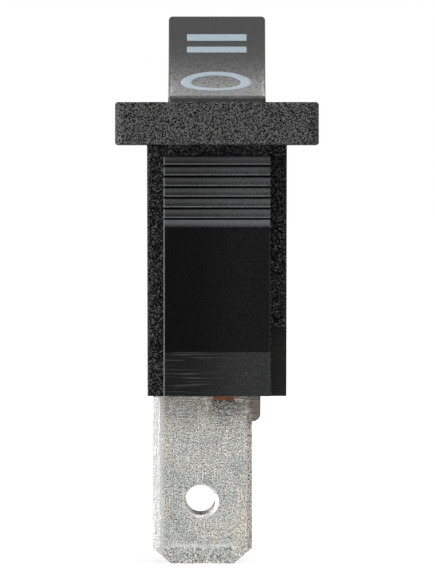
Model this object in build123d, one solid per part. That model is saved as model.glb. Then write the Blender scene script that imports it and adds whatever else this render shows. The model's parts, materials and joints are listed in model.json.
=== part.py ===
from build123d import *
import os
from math import asin, atan2, cos, degrees, hypot, radians, sin, sqrt, tan

# Three-position rocker switch, on-off-on, for a snap-in panel cut-out.
# Millimetres. +Z points out of the panel, the long axis is Y and the width is X.
# The origin is the centre of the cut-out, in the plane of the bezel's underside.
# The rocker is modelled at rest in its first position, with its -Y end pressed.

# Rocker: a hollow key with a hollowed top, turning on two trunnions.
ROCKER_WIDTH = 6.2
ROCKER_CHORD = 16.87  # lip to lip
TOP_RADIUS = 20.8  # of the hollowed top
TOP_HEIGHT = 2.85  # middle of the top above the pivot
ROCKER_TILT = 18.0  # each way from the middle position
SKIRT_BELOW = 12.0  # degrees that each end skirt reaches below the pivot's level
ROCKER_SKIN = 1.2
SKIRT_WALL = 1.0
ROCKER_SIDE = 0.85
KEY_EDGE_ROUND = 0.25
LIP_ROUND = 0.3
WEB_WIDTH = 0.8
WEB_LEVEL = 0.9  # lower edge of the web above the pivot
HUB_RADIUS = 1.7
TRUNNION_RADIUS = 1.0
TRUNNION_LENGTH = 0.8
TRUNNION_CHAMFER = 0.3

# Stem, with the sprung plunger in its bore.
STEM_WALL = 0.65
STEM_REACH = 6.8  # end of the stem below the pivot
BORE_TOP = 0.8  # blind end of the bore below the pivot
PLUNGER_RADIUS = 1.1
PLUNGER_REACH = 10.35  # tip below the pivot
PLUNGER_LENGTH = 5.6
PLUNGER_CUP_WALL = 0.35
PLUNGER_CUP_DEPTH = 2.6
PLUNGER_FIT = 0.05
SPRING_WIRE = 0.26
SPRING_TURNS = 4.0
SPRING_WIRE_SIDES = 5
SPRING_FIT = 0.06

# Bezel and well.
BEZEL_WIDTH = 12.9
BEZEL_HEIGHT = 2.7
BEZEL_CORNER = 0.56
BEZEL_EDGE = 0.12
BEZEL_FOOT_EDGE = 0.08
WELL_EDGE = 0.12
PIVOT_HEIGHT = 1.37  # above the bezel's underside
WELL_SIDE_GAP = 0.13
WELL_END_GAP = 0.2
WELL_DEPTH = 2.0  # narrow part of the well below the bezel
TRUNNION_FIT = 0.05
SOCKET_END_GAP = 0.1
LEAD_IN_WIDTH = 1.6
LEAD_IN_TOP = 0.45
LEAD_IN_FOOT = 0.15
STOP_GAP = 0.1
STOP_DEPTH = 0.95
STOP_THICKNESS = 0.8

# Body below the panel.
BODY_DEPTH = 15.94
BODY_WIDTH_TOP = 8.88
BODY_WIDTH_FOOT = 8.81
BODY_CORNER = 0.2
SIDE_WALL = 0.75
END_WALL = 0.75
NOTCH_INSET = 0.94  # width of the corner notch
NOTCH_HEIGHT = 4.39
NOTCH_DEPTH = 0.42

# Snap tongues: one at each end, rooted at the foot and free at the top.
TONGUE_WIDTH = 6.76
TONGUE_TOP = 0.69  # free end below the bezel
TONGUE_THICKNESS = 0.6
FLEX_GAP = 0.8
STEP_COUNT = 6
STEP_PITCH = 0.675
STEP_OUT = 0.13
STEP_LEAN = 0.04
STEP_ROUND = 0.16  # upper edge of each step
STEP_GROOVE = 0.11  # groove between steps
CREST_OUT = 0.2  # crest beyond the last step
CREST_ROUND = 0.25
CREST_FACE = 0.11  # upright face above the crest
KNEE_HEIGHT = 2.79  # knee of the outer face above the foot
KNEE_IN = 1.2  # knee inside the crest
ROOT_HEIGHT = 1.7
ROOT_ROUND = 0.3
CUTOUT_GAP = 0.2
SEAT_RELIEF = 0.12  # underside set back inside the cut-out
BEZEL_END_OVERLAP = 1.9

# Terminal base: the carrier that closes the foot of the body.
BASE_THICKNESS = 3.1
BASE_GAP = 0.05
BASE_STOP_DEPTH = 0.6
BASE_STOP_HEIGHT = 0.8
BASE_STOP_WIDTH = 4.0
CATCH_SPREAD = 7.0
CATCH_WIDTH = 1.6
CATCH_HEIGHT = 0.9
CATCH_OUT = 0.45
CATCH_ABOVE_FOOT = 1.2
CATCH_GAP = 0.1

# Terminals: 6.3 x 0.8 tabs, all from one blank.
TAB_WIDTH = 6.3
TAB_THICKNESS = 0.8
TAB_PITCH = 7.0
TAB_OFFSET = -0.92  # tab's middle from the switch's middle plane
TAB_LENGTH = 10.69
TAB_CORNER_WIDTH = 1.17
TAB_CORNER_HEIGHT = 0.98
TAB_HOLE_RADIUS = 0.95
TAB_HOLE_CHAMFER = 0.1
TAB_HOLE_CHAMFER_WIDTH = 0.2
TAB_HOLE_CHAMFER_OFFSET = (0.12, -0.09)  # deburred a little off centre
TAB_HOLE_FROM_TIP = 4.05
TAB_HOLE_OFFSET = -0.14  # from the tab's middle
TIP_BEVEL_LENGTH = 1.2
TIP_BEVEL_DEPTH = 0.24
SIDE_BEVELS = {-1: 0.45, 1: 0.3}  # width on each side
SIDE_BEVEL_DEPTH = 0.16
SHOULDER_DROP = 1.65
SHOULDER_ROUND = 0.5
SHOULDER_GAP = 0.05
SLOT_FIT = 0.03
STAKE_OFFSET = 0.42
STAKE_WIDTH = 1.4
STAKE_HEIGHT = 1.2
STAKE_DEPTH = 0.16

# Contacts.
BRIDGE_TILT = 8.0  # each way from level
BRIDGE_THICKNESS = 0.65
BRIDGE_WIDTH = 4.0
ARM_MARGIN = 0.15  # strip left around a contact
DISH_MARGIN = 6.0  # degrees of dish beyond the plunger's last place
DISH_BEND = 0.4
SLIDE_GAP = 0.06
FULCRUM_GAP = 0.05
FULCRUM_ROUND = 0.35
EAR_GAP = 0.12
EAR_WIDTH = 0.65
EAR_HEIGHT = 1.9
CONTACT_INSET = 1.63  # fixed contact inside the middle of its terminal
CONTACT_GAP = 0.05  # left between the contacts when closed
HEAD_RADIUS = 1.0
HEAD_HEIGHT = 0.5
HEAD_CROWN = 0.12
CROWN_FLAT = 0.3
HEAD_EDGE = 0.1
SHANK_RADIUS = 0.6
SHANK_FIT = 0.02
UPSET_RADIUS = 0.85
UPSET_HEIGHT = 0.25
FOLD_ROUND = 0.2

CUT = 1.0  # how far a cutting tool runs past the face that it leaves by

# Places that follow from the sizes above.
half_chord = ROCKER_CHORD / 2
lip_height = TOP_HEIGHT + TOP_RADIUS - sqrt(TOP_RADIUS**2 - half_chord**2)
end_radius = hypot(half_chord, lip_height)
well_half_width = ROCKER_WIDTH / 2 + WELL_SIDE_GAP
well_half_length = end_radius + WELL_END_GAP
body_half_length = well_half_length + END_WALL
chamber_half_width = BODY_WIDTH_FOOT / 2 - SIDE_WALL
tongue_back = body_half_length + FLEX_GAP
tongue_face = tongue_back + TONGUE_THICKNESS
tongue_crest = tongue_face + STEP_COUNT * STEP_OUT + CREST_OUT
cutout_half_length = tongue_face + CUTOUT_GAP
cutout_half_width = BODY_WIDTH_TOP / 2 + CUTOUT_GAP / 2
crest_level = -TONGUE_TOP - STEP_COUNT * STEP_PITCH
bezel_length = 2 * (cutout_half_length + BEZEL_END_OVERLAP)
stem_radius = PLUNGER_RADIUS + PLUNGER_FIT + STEM_WALL
cup_radius = PLUNGER_RADIUS - PLUNGER_CUP_WALL
plunger_top = PLUNGER_REACH - PLUNGER_LENGTH
spring_foot = plunger_top + PLUNGER_CUP_DEPTH
fulcrum_level = PIVOT_HEIGHT - PLUNGER_REACH - SLIDE_GAP - BRIDGE_THICKNESS - FULCRUM_GAP
neck_width = BRIDGE_WIDTH + 2 * (EAR_GAP + EAR_WIDTH)
base_top = BASE_THICKNESS - BODY_DEPTH


def arc_point(radius, angle, centre=(0, 0)):
    """Point of a circle at an angle in degrees from its first axis."""
    return (
        centre[0] + radius * cos(radians(angle)),
        centre[1] + radius * sin(radians(angle)),
    )


def across(profile, half_width):
    """Solid with a Y-Z profile, as wide on each side of the middle plane."""
    return extrude(Plane.YZ * profile, half_width, both=True)


def block(low, high):
    """Box between two corners."""
    size = [b - a for a, b in zip(low, high)]
    return Pos(*low) * Box(*size, align=Align.MIN)


def both_ends(shape):
    """The shape and its half-turn copy at the other end."""
    return shape + Rot(Z=180) * shape


def dish():
    """Radius and centre height, from the fulcrum, of the plunger's path on the bridge.

    The plunger's round tip moves past the bridge as both turn. Seen from the bridge its
    centre runs along a circle through its middle place and its end place.
    """
    reach = PLUNGER_REACH - PLUNGER_RADIUS
    pivot = PIVOT_HEIGHT - fulcrum_level
    start = pivot - reach
    y = reach * sin(radians(ROCKER_TILT))
    z = pivot - reach * cos(radians(ROCKER_TILT))
    turn = radians(BRIDGE_TILT)
    end_y = y * cos(turn) - z * sin(turn)
    rise = y * sin(turn) + z * cos(turn) - start
    path = (end_y**2 + rise**2) / (2 * rise)
    return path, start + path, degrees(asin(end_y / path))


path_radius, dish_centre, path_angle = dish()
dish_radius = path_radius + PLUNGER_RADIUS + SLIDE_GAP
dish_angle = path_angle + DISH_MARGIN
arm_top = dish_centre - dish_radius * cos(radians(dish_angle))
arm_foot = arm_top - BRIDGE_THICKNESS


def closed_contact():
    """Arm of a moving contact that lands on the fixed one, and the level of its crown there."""
    crown = arm_foot - HEAD_HEIGHT
    turn = radians(BRIDGE_TILT)
    arm = (fixed_contact_y - crown * sin(turn)) / cos(turn)
    return arm, fulcrum_level + crown * cos(turn) - arm * sin(turn)


fixed_contact_y = TAB_PITCH - CONTACT_INSET
contact_arm, closed_level = closed_contact()
ledge_top = closed_level - CONTACT_GAP - HEAD_HEIGHT
ledge_length = TAB_THICKNESS / 2 + CONTACT_INSET + HEAD_RADIUS + ARM_MARGIN


# Housing ---------------------------------------------------------------------------


def bezel():
    """Frame with rounded corners that covers the edge of the cut-out."""
    frame = Box(BEZEL_WIDTH, bezel_length, BEZEL_HEIGHT, align=(Align.CENTER, Align.CENTER, Align.MIN))
    frame = fillet(frame.edges().filter_by(Axis.Z), BEZEL_CORNER)
    frame = chamfer(frame.faces().sort_by(Axis.Z)[-1].edges(), BEZEL_EDGE)
    frame = chamfer(frame.faces().sort_by(Axis.Z)[0].edges(), BEZEL_FOOT_EDGE)
    relief = block(
        (-cutout_half_width, -cutout_half_length, -CUT),
        (cutout_half_width, cutout_half_length, SEAT_RELIEF),
    )
    return frame - relief


def body():
    """Case below the bezel, a little narrower at its foot for draft."""
    top, foot = BODY_WIDTH_TOP / 2, BODY_WIDTH_FOOT / 2
    face = Polygon((-top, CUT), (-foot, -BODY_DEPTH), (foot, -BODY_DEPTH), (top, CUT), align=None)
    case = extrude(Plane.XZ * face, body_half_length, both=True)
    upright = case.edges().filter_by(lambda e: abs(e.tangent_at(0).Z) > 0.99)
    return fillet(upright, BODY_CORNER)


def tongue_profile():
    """Snap tongue seen from the side: a stair of pads with a groove above each ledge.

    The first axis points out of the end. Each pad leans out a little towards the foot.
    """
    stair, upper_edges = [], []
    for i in range(STEP_COUNT):
        out = tongue_face + i * STEP_OUT
        level = -TONGUE_TOP - i * STEP_PITCH
        foot = level - STEP_PITCH
        stair += [(out, level), (out + STEP_LEAN, foot + STEP_GROOVE), (out + STEP_LEAN - STEP_GROOVE, foot)]
        upper_edges.append((out, level))
    knee = KNEE_HEIGHT - BODY_DEPTH
    crest_foot = (tongue_crest, crest_level - CREST_FACE - CREST_ROUND)
    root = (tongue_back, ROOT_HEIGHT - BODY_DEPTH)
    face = Polygon(
        (tongue_back, -TONGUE_TOP),
        *stair,
        (tongue_crest, crest_level),
        crest_foot,
        (tongue_crest - KNEE_IN, knee),
        (tongue_crest - KNEE_IN, -BODY_DEPTH),
        (body_half_length - END_WALL / 2, -BODY_DEPTH),
        (body_half_length - END_WALL / 2, ROOT_HEIGHT - BODY_DEPTH),
        root,
        align=None,
    )
    upper_edges.append((tongue_crest, crest_level))
    rounds = [
        (STEP_ROUND, upper_edges),
        (CREST_ROUND, [crest_foot]),
        (ROOT_ROUND, [root]),
    ]
    for radius, corners in rounds:
        face = fillet([face.vertices().sort_by_distance((*corner, 0))[0] for corner in corners], radius)
    return face


def well():
    """Opening for the rocker, with the chamber for the contacts below it."""
    opening = block(
        (-well_half_width, -well_half_length, -WELL_DEPTH - CUT),
        (well_half_width, well_half_length, BEZEL_HEIGHT + CUT),
    )
    chamber = block(
        (-chamber_half_width, -well_half_length, -BODY_DEPTH - CUT),
        (chamber_half_width, well_half_length, -WELL_DEPTH),
    )
    return opening + chamber


def trunnion_sockets():
    """Blind holes for the trunnions, with a sloping groove that leads each one in."""
    depth = ROCKER_WIDTH / 2 + TRUNNION_LENGTH + SOCKET_END_GAP
    holes = Pos(Z=PIVOT_HEIGHT) * Rot(Y=90) * Cylinder(TRUNNION_RADIUS + TRUNNION_FIT, 2 * depth)
    groove = Polygon(
        (0, BEZEL_HEIGHT + CUT),
        (well_half_width + LEAD_IN_TOP, BEZEL_HEIGHT + CUT),
        (well_half_width + LEAD_IN_TOP, BEZEL_HEIGHT),
        (well_half_width + LEAD_IN_FOOT, PIVOT_HEIGHT),
        (0, PIVOT_HEIGHT),
        align=None,
    )
    return holes + both_ends(extrude(Plane.XZ * groove, LEAD_IN_WIDTH / 2, both=True))


def rocker_stop():
    """Ledge on an end wall that the pressed skirt comes down to."""
    level = PIVOT_HEIGHT - end_radius * sin(radians(SKIRT_BELOW + ROCKER_TILT)) - STOP_GAP
    return block(
        (-well_half_width, -well_half_length - END_WALL / 2, level - STOP_THICKNESS),
        (well_half_width, STOP_DEPTH - well_half_length, level),
    )


def base_stop():
    """Rib on an end wall that the terminal base is pushed up to."""
    return block(
        (-BASE_STOP_WIDTH / 2, -well_half_length - END_WALL / 2, base_top + BASE_GAP),
        (BASE_STOP_WIDTH / 2, BASE_STOP_DEPTH - well_half_length, base_top + BASE_GAP + BASE_STOP_HEIGHT),
    )


def corner_notch():
    """Step cut into the lower corner of an end wall."""
    side = BODY_WIDTH_FOOT / 2
    return block(
        (side - NOTCH_INSET, -body_half_length - CUT, -BODY_DEPTH - CUT),
        (side + CUT, NOTCH_DEPTH - body_half_length, NOTCH_HEIGHT - BODY_DEPTH),
    )


def catch_windows():
    """Windows in the long walls for the catches of the terminal base."""
    low = CATCH_ABOVE_FOOT - CATCH_GAP - BODY_DEPTH
    high = CATCH_ABOVE_FOOT + CATCH_HEIGHT + CATCH_GAP - BODY_DEPTH
    half = CATCH_WIDTH / 2 + CATCH_GAP
    cut = block((-BODY_WIDTH_TOP, -half, low), (BODY_WIDTH_TOP, half, high))
    return [Pos(Y=side * CATCH_SPREAD / 2) * cut for side in (-1, 1)]


def housing():
    """Bezel, case and both snap tongues, in one moulding."""
    tongue = across(tongue_profile(), TONGUE_WIDTH / 2)
    shell = bezel() + body() - well()
    rim = shell.edges().filter_by(lambda e: abs(e.center().Z - BEZEL_HEIGHT) < 1e-6)
    inner = rim.filter_by(lambda e: abs(e.center().X) < well_half_width + WELL_EDGE)
    shell = fillet(inner.filter_by(lambda e: abs(e.center().Y) < well_half_length + WELL_EDGE), WELL_EDGE)
    shell = shell - trunnion_sockets() - both_ends(corner_notch()) - catch_windows()
    return shell + both_ends(tongue) + both_ends(rocker_stop()) + both_ends(base_stop())


# Rocker and plunger, drawn in the middle position with the pivot at the origin -----


def rocker_profile():
    """Hollowed top, ends that are arcs about the pivot, and skirts cut to lie flat when pressed."""
    lip_angle = degrees(atan2(lip_height, half_chord))
    corner = arc_point(end_radius, -SKIRT_BELOW)
    middle = arc_point(end_radius, (lip_angle - SKIRT_BELOW) / 2)
    inner = (corner[0] - SKIRT_WALL, corner[1] - SKIRT_WALL * tan(radians(ROCKER_TILT)))
    lip = (half_chord, lip_height)
    half = Curve() + [
        ThreePointArc(lip, middle, corner),
        Line(corner, inner),
        Line(inner, (0, inner[1])),
    ]
    top = ThreePointArc((-lip[0], lip[1]), (0, TOP_HEIGHT), lip)
    face = make_face(Curve() + [top, half, mirror(half, Plane.YZ)])
    return fillet(face.vertices().sort_by(Axis.Y)[-2:], LIP_ROUND)


def rocker_cavity():
    """Inside of the key, open below."""
    centre = (0, TOP_HEIGHT + TOP_RADIUS)
    skin = Pos(*centre) * Circle(TOP_RADIUS + ROCKER_SKIN)
    return Circle(end_radius - SKIRT_WALL) - skin


def rocker():
    """Key with its hub, stem and trunnions."""
    key = across(rocker_profile(), ROCKER_WIDTH / 2)
    key = fillet(key.edges().filter_by(GeomType.CIRCLE), KEY_EDGE_ROUND)
    key = key - across(rocker_cavity(), ROCKER_WIDTH / 2 - ROCKER_SIDE)
    inside = ROCKER_WIDTH / 2 - ROCKER_SIDE / 2
    hub = Rot(Y=90) * Cylinder(HUB_RADIUS, 2 * inside)
    stem = Pos(Z=-STEM_REACH) * Cylinder(
        stem_radius, STEM_REACH + TOP_HEIGHT - ROCKER_SKIN / 2, align=(Align.CENTER, Align.CENTER, Align.MIN)
    )
    web = across(rocker_cavity(), WEB_WIDTH / 2) & block(
        (-ROCKER_WIDTH, -end_radius, WEB_LEVEL), (ROCKER_WIDTH, end_radius, end_radius)
    )
    bore = Pos(Z=-STEM_REACH - CUT) * Cylinder(
        PLUNGER_RADIUS + PLUNGER_FIT,
        STEM_REACH + CUT - BORE_TOP,
        align=(Align.CENTER, Align.CENTER, Align.MIN),
    )
    pin = Cylinder(TRUNNION_RADIUS, ROCKER_WIDTH + 2 * TRUNNION_LENGTH)
    pin = Rot(Y=90) * chamfer(pin.edges(), TRUNNION_CHAMFER)
    core = block((-inside, -end_radius, -end_radius), (inside, end_radius, end_radius))
    return key + hub + stem + web + (pin - core) - bore


def plunger():
    """Pin with a round tip and a cup for the spring."""
    shaft = Pos(Z=PLUNGER_RADIUS - PLUNGER_REACH) * Cylinder(
        PLUNGER_RADIUS, PLUNGER_LENGTH - PLUNGER_RADIUS, align=(Align.CENTER, Align.CENTER, Align.MIN)
    )
    tip = Pos(Z=PLUNGER_RADIUS - PLUNGER_REACH) * Sphere(PLUNGER_RADIUS)
    cup = Pos(Z=-spring_foot) * Cylinder(
        cup_radius, PLUNGER_CUP_DEPTH + CUT, align=(Align.CENTER, Align.CENTER, Align.MIN)
    )
    return shaft + tip - cup


def plunger_spring():
    """Coil between the bore's blind end and the foot of the plunger's cup."""
    gap = SPRING_FIT + SPRING_WIRE / 2
    height = spring_foot - BORE_TOP - 2 * gap
    coil_radius = cup_radius - gap
    coil = Helix(height / SPRING_TURNS, height, coil_radius)
    section = Plane(coil @ 0, z_dir=coil % 0) * RegularPolygon(SPRING_WIRE / 2, SPRING_WIRE_SIDES)
    return Pos(Z=gap - spring_foot) * sweep(section, coil, is_frenet=True)


def in_rocker(shape):
    """Place of a piece that turns with the rocker, in the first position."""
    return Pos(Z=PIVOT_HEIGHT) * Rot(X=ROCKER_TILT) * shape


# Contact bridge, drawn level with the fulcrum at the origin ------------------------


def bridge_profile():
    """Dish with two flat arms, seen from the side."""
    arm_end = contact_arm + HEAD_RADIUS + ARM_MARGIN
    inside = Pos(0, dish_centre) * Circle(dish_radius)
    ring = Pos(0, dish_centre) * Circle(dish_radius + BRIDGE_THICKNESS) - inside
    below = Rectangle(3 * dish_radius, 3 * dish_radius, align=(Align.CENTER, Align.MAX))
    strip = Rectangle(2 * arm_end, BRIDGE_THICKNESS, align=(Align.CENTER, Align.MIN))
    face = (ring & Pos(0, arm_top) * below) + (Pos(0, arm_foot) * strip - inside)
    bends = face.vertices().filter_by(lambda v: abs(v.X) < arm_end - BRIDGE_THICKNESS)
    upper = bends.filter_by(lambda v: abs(v.Y - arm_top) < 1e-6)
    face = fillet(upper, DISH_BEND + BRIDGE_THICKNESS)
    bends = face.vertices().filter_by(lambda v: abs(v.X) < arm_end - BRIDGE_THICKNESS)
    return fillet(bends.filter_by(lambda v: abs(v.Y - arm_foot) < 1e-6), DISH_BEND)


def bridge():
    """Rocking contact blade that the plunger rides on."""
    blade = across(bridge_profile(), BRIDGE_WIDTH / 2)
    hole = Pos(Y=contact_arm, Z=arm_foot) * Cylinder(SHANK_RADIUS + SHANK_FIT, 4 * BRIDGE_THICKNESS)
    return blade - both_ends(hole)


def rivet(grip, flat, slope):
    """Contact whose head slopes from a flat middle to its rim, upset above a strip of the given grip."""
    half = Polygon(
        (0, 0),
        (flat, 0),
        (HEAD_RADIUS, slope),
        (HEAD_RADIUS, HEAD_HEIGHT),
        (SHANK_RADIUS, HEAD_HEIGHT),
        (SHANK_RADIUS, HEAD_HEIGHT + grip),
        (UPSET_RADIUS, HEAD_HEIGHT + grip),
        (UPSET_RADIUS, HEAD_HEIGHT + grip + UPSET_HEIGHT),
        (0, HEAD_HEIGHT + grip + UPSET_HEIGHT),
        align=None,
    )
    return revolve(Plane.XZ * half, Axis.Z)


def on_bridge(shape):
    """Place of a piece of the bridge, with its +Y arm down."""
    return Pos(Z=fulcrum_level) * Rot(X=-BRIDGE_TILT) * shape


def moving_contact(side):
    """Contact on one arm of the bridge, with a crowned head."""
    button = rivet(BRIDGE_THICKNESS, CROWN_FLAT, HEAD_CROWN)
    return Pos(Y=side * contact_arm, Z=arm_foot - HEAD_HEIGHT) * button


def fixed_contact(side):
    """Contact on the ledge of an end terminal, head up."""
    button = rivet(TAB_THICKNESS, HEAD_RADIUS - HEAD_EDGE, HEAD_EDGE)
    return Pos(Y=side * fixed_contact_y, Z=ledge_top + HEAD_HEIGHT) * Rot(X=180) * button


# Terminals and their base ----------------------------------------------------------


def tab_profile(neck_top):
    """Blank of a terminal, seen from the end: tab, shoulder and neck."""
    left = TAB_OFFSET - TAB_WIDTH / 2
    right = TAB_OFFSET + TAB_WIDTH / 2
    tip = -BODY_DEPTH - TAB_LENGTH
    step = -BODY_DEPTH - SHOULDER_DROP
    foot = -BODY_DEPTH - SHOULDER_GAP
    neck = neck_width / 2
    face = Polygon(
        (left, foot),
        (left, tip + TAB_CORNER_HEIGHT),
        (left + TAB_CORNER_WIDTH, tip),
        (right - TAB_CORNER_WIDTH, tip),
        (right, tip + TAB_CORNER_HEIGHT),
        (right, step),
        (neck, step),
        (neck, neck_top),
        (-neck, neck_top),
        (-neck, foot),
        align=None,
    )
    shoulder = face.vertices().sort_by_distance((neck, step, 0))[0]
    room = min(SHOULDER_ROUND, neck - right)
    return fillet(shoulder, room)


def tab_bevels():
    """Waste coined off the tab's long edges and its tip, on both faces."""
    half = TAB_THICKNESS / 2
    tip = -BODY_DEPTH - TAB_LENGTH
    top = -BODY_DEPTH - SHOULDER_DROP
    waste = []
    for side, width in SIDE_BEVELS.items():
        edge = TAB_OFFSET + side * TAB_WIDTH / 2
        wedge = Polygon(
            (edge, half - SIDE_BEVEL_DEPTH), (edge, half + CUT), (edge - side * width, half + CUT),
            (edge - side * width, half), align=None,
        )
        waste.append(Pos(Z=tip - CUT) * extrude(wedge, top - tip + CUT))
    lip = Polygon(
        (half - TIP_BEVEL_DEPTH, tip), (half, tip + TIP_BEVEL_LENGTH), (half + CUT, tip + TIP_BEVEL_LENGTH),
        (half + CUT, tip), align=None,
    )
    waste.append(across(lip, TAB_WIDTH))
    return waste + [mirror(w, Plane.XZ) for w in waste]


def tab_hole():
    """Hole through the tab, with an off-centre chamfer on each face."""
    rim = TAB_HOLE_RADIUS + TAB_HOLE_CHAMFER
    half = TAB_THICKNESS / 2
    through = Cylinder(TAB_HOLE_RADIUS, 2 * CUT + TAB_THICKNESS)
    sink = Pos(*TAB_HOLE_CHAMFER_OFFSET, half - TAB_HOLE_CHAMFER / 2) * Cone(
        rim - TAB_HOLE_CHAMFER_WIDTH, rim, TAB_HOLE_CHAMFER
    )
    hole = through + sink + mirror(sink, Plane.XY)
    hole_height = TAB_HOLE_FROM_TIP - BODY_DEPTH - TAB_LENGTH
    return Pos(TAB_OFFSET + TAB_HOLE_OFFSET, 0, hole_height) * Rot(X=90) * hole


def stake_mark():
    """Pocket left by the punch that locks the neck in the base, on the outer face."""
    outer = -TAB_THICKNESS / 2
    foot = -BODY_DEPTH - SHOULDER_GAP - STAKE_HEIGHT
    wedge = Polygon(
        (outer - CUT, foot),
        (outer, foot),
        (outer + STAKE_DEPTH, foot + STAKE_HEIGHT),
        (outer - CUT, foot + STAKE_HEIGHT),
        align=None,
    )
    return Pos(X=STAKE_OFFSET) * across(wedge, STAKE_WIDTH / 2)


def terminal_blank(neck_top):
    """Flat terminal, standing in the X-Z plane."""
    sheet = extrude(Plane.XZ * tab_profile(neck_top), TAB_THICKNESS / 2, both=True)
    return sheet - tab_bevels() - tab_hole() - stake_mark()


def common_terminal():
    """Middle terminal: its top edge is the fulcrum, between two ears that guide the bridge."""
    plate = terminal_blank(fulcrum_level + EAR_HEIGHT)
    half = BRIDGE_WIDTH / 2 + EAR_GAP
    gap = block((-half, -CUT, fulcrum_level), (half, CUT, fulcrum_level + EAR_HEIGHT + CUT))
    plate = plate - gap
    ridge = plate.edges().filter_by(Axis.X).filter_by(
        lambda e: abs(e.center().Z - fulcrum_level) < 1e-6
    )
    return fillet(ridge, FULCRUM_ROUND)


def end_terminal():
    """End terminal at -Y: its neck is folded inwards into a ledge for the fixed contact."""
    outer, inner = -TAB_THICKNESS / 2, TAB_THICKNESS / 2
    fold = Polygon(
        (outer, base_top), (outer, ledge_top), (outer + ledge_length, ledge_top),
        (outer + ledge_length, ledge_top - TAB_THICKNESS), (inner, ledge_top - TAB_THICKNESS),
        (inner, base_top), align=None,
    )
    crook = fold.vertices().sort_by_distance((inner, ledge_top - TAB_THICKNESS, 0))[0]
    fold = fillet(crook, FOLD_ROUND)
    crown = fold.vertices().sort_by_distance((outer, ledge_top, 0))[0]
    fold = fillet(crown, FOLD_ROUND + TAB_THICKNESS)
    strip = terminal_blank(base_top) + across(fold, neck_width / 2)
    hole = Pos(Y=TAB_PITCH - fixed_contact_y, Z=ledge_top) * Cylinder(
        SHANK_RADIUS + SHANK_FIT, 4 * TAB_THICKNESS
    )
    return Pos(Y=-TAB_PITCH) * (strip - hole)


def base():
    """Carrier pushed into the foot of the body, with a slot for each neck and four catches."""
    half_width = chamber_half_width - BASE_GAP
    half_length = well_half_length - BASE_GAP
    carrier = block((-half_width, -half_length, -BODY_DEPTH), (half_width, half_length, base_top))
    slot = block(
        (-neck_width / 2 - SLOT_FIT, -TAB_THICKNESS / 2 - SLOT_FIT, -BODY_DEPTH - CUT),
        (neck_width / 2 + SLOT_FIT, TAB_THICKNESS / 2 + SLOT_FIT, base_top + CUT),
    )
    carrier = carrier - [Pos(Y=i * TAB_PITCH) * slot for i in (-1, 0, 1)]
    low = CATCH_ABOVE_FOOT - BODY_DEPTH
    wedge = Polygon(
        (0, low), (half_width + CATCH_OUT, low), (half_width, low + CATCH_HEIGHT),
        (0, low + CATCH_HEIGHT), align=None,
    )
    catch = extrude(Plane.XZ * wedge, CATCH_WIDTH / 2, both=True)
    catch = catch - block((-CUT, -CUT, -2 * BODY_DEPTH), (half_width - CUT, CUT, 0))
    return carrier + [both_ends(Pos(Y=side * CATCH_SPREAD / 2) * catch) for side in (-1, 1)]


def pieces():
    """Every piece of the switch by name."""
    near = end_terminal()
    return {
        "housing": housing(),
        "rocker": in_rocker(rocker()),
        "plunger": in_rocker(plunger()),
        "plunger_spring": in_rocker(plunger_spring()),
        "contact_bridge": on_bridge(bridge()),
        "moving_contact_near": on_bridge(moving_contact(-1)),
        "moving_contact_far": on_bridge(moving_contact(1)),
        "terminal_base": base(),
        "terminal_near": near,
        "terminal_common": common_terminal(),
        "terminal_far": mirror(near, Plane.XZ),
        "fixed_contact_near": fixed_contact(-1),
        "fixed_contact_far": fixed_contact(1),
    }


os.makedirs("parts", exist_ok=True)
for name, shape in pieces().items():
    export_step(shape, f"parts/{name}.step")
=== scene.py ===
import json
from math import cos, pi, radians, sin

import bpy
import numpy as np
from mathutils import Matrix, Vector


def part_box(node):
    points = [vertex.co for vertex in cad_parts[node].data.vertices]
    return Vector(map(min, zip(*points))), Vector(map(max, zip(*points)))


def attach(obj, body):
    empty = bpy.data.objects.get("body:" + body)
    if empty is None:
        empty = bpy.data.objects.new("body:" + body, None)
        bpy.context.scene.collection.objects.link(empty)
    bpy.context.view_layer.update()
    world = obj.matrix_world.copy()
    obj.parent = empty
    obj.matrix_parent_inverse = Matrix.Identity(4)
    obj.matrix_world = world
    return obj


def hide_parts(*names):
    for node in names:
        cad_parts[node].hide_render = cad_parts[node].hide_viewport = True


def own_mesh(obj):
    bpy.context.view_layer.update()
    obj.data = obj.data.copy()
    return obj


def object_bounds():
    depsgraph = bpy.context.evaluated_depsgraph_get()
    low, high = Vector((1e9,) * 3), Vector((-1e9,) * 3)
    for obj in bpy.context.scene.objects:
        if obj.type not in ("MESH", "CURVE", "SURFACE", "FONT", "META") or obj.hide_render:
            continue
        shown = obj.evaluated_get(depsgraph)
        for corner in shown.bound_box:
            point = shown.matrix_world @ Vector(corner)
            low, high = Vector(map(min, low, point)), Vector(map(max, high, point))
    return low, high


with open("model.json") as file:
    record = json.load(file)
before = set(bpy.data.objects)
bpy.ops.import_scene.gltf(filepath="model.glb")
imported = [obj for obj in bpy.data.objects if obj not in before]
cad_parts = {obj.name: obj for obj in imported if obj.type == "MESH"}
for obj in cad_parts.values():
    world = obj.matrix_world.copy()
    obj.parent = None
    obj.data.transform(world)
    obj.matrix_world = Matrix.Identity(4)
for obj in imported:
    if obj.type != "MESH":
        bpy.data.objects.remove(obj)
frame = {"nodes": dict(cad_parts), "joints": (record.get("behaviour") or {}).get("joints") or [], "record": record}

MM = 0.001
nodes = frame["nodes"]
cad_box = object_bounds()


# Housing: the bezel, the case and a snap tongue at each end are one moulding in black nylon.
# Its mould is spark-eroded on the bezel and the case, cut smooth on the tongues, and the feet
# of the tongues are scuffed where the switch has been pushed along a bench.

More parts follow.
